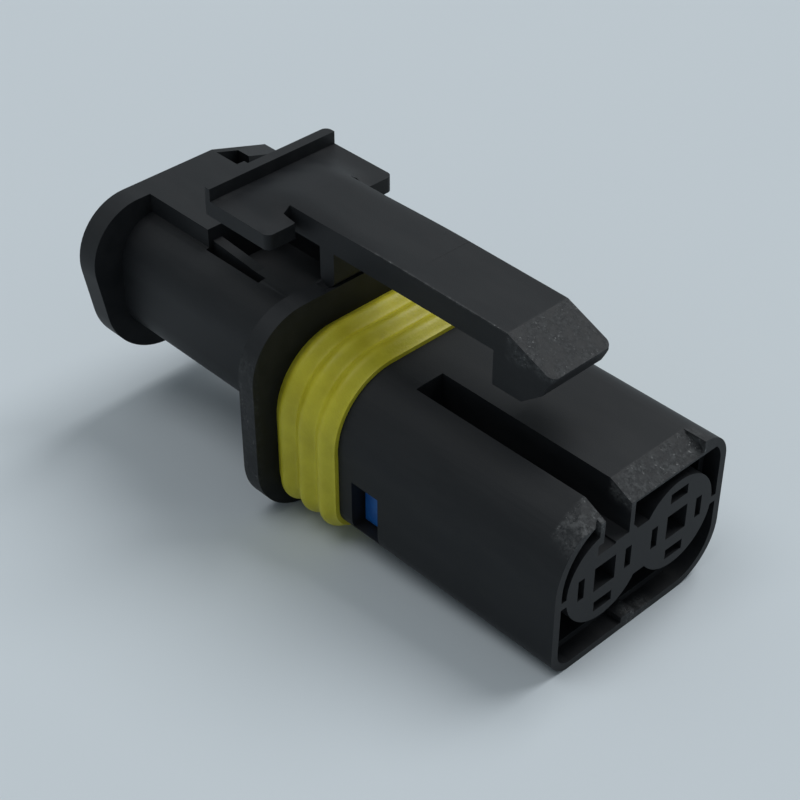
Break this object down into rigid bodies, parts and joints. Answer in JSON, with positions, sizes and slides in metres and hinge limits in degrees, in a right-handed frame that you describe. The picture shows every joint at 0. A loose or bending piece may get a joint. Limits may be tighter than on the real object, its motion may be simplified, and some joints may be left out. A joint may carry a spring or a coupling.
{
  "type": "sealed two-way automotive connector",
  "caption": "Sealed female connector plug with a keyed hollow nose, ribbed face seal, side lock slide and a rocking latch lever.",
  "frame": {"origin": "centre of the mating end face, midway between the two contact towers, on the plane of the two contact axes", "axes": "+X along the contact axes towards the mating end, +Z towards the latch side, +Y to the right when the mating end is faced"},
  "size_m": [0.04, 0.0178, 0.0187],
  "materials": {
    "black_plastic": "moulded satin black",
    "yellow_silicone": "satin silicone",
    "blue_plastic": "moulded satin blue",
    "tinned_copper": "bright tin plate",
    "spring_steel": "rolled stainless strip"
  },
  "bodies": {
    "plug": {"housing": "black_plastic", "interface_seal": "yellow_silicone", "contact_left": "tinned_copper", "contact_right": "tinned_copper", "contact_cage_left": "spring_steel", "contact_cage_right": "spring_steel", "wire_seal_left": "yellow_silicone", "wire_seal_right": "yellow_silicone"},
    "latch": {"latch_lever": "black_plastic"},
    "lock": {"secondary_lock": "blue_plastic"}
  },
  "joints": [
    {"name": "latch_rock", "type": "hinge", "parent": "plug", "child": "latch", "pos_m": [-0.02275, 0, 0.0077], "axis": [0, -1, 0], "range_deg": [0, 8], "stiffness_Nm_per_rad": 0.6},
    {"name": "lock_slide", "type": "slide", "parent": "plug", "child": "lock", "axis": [0, -1, 0], "range_m": [0, 0.0016]}
  ]
}
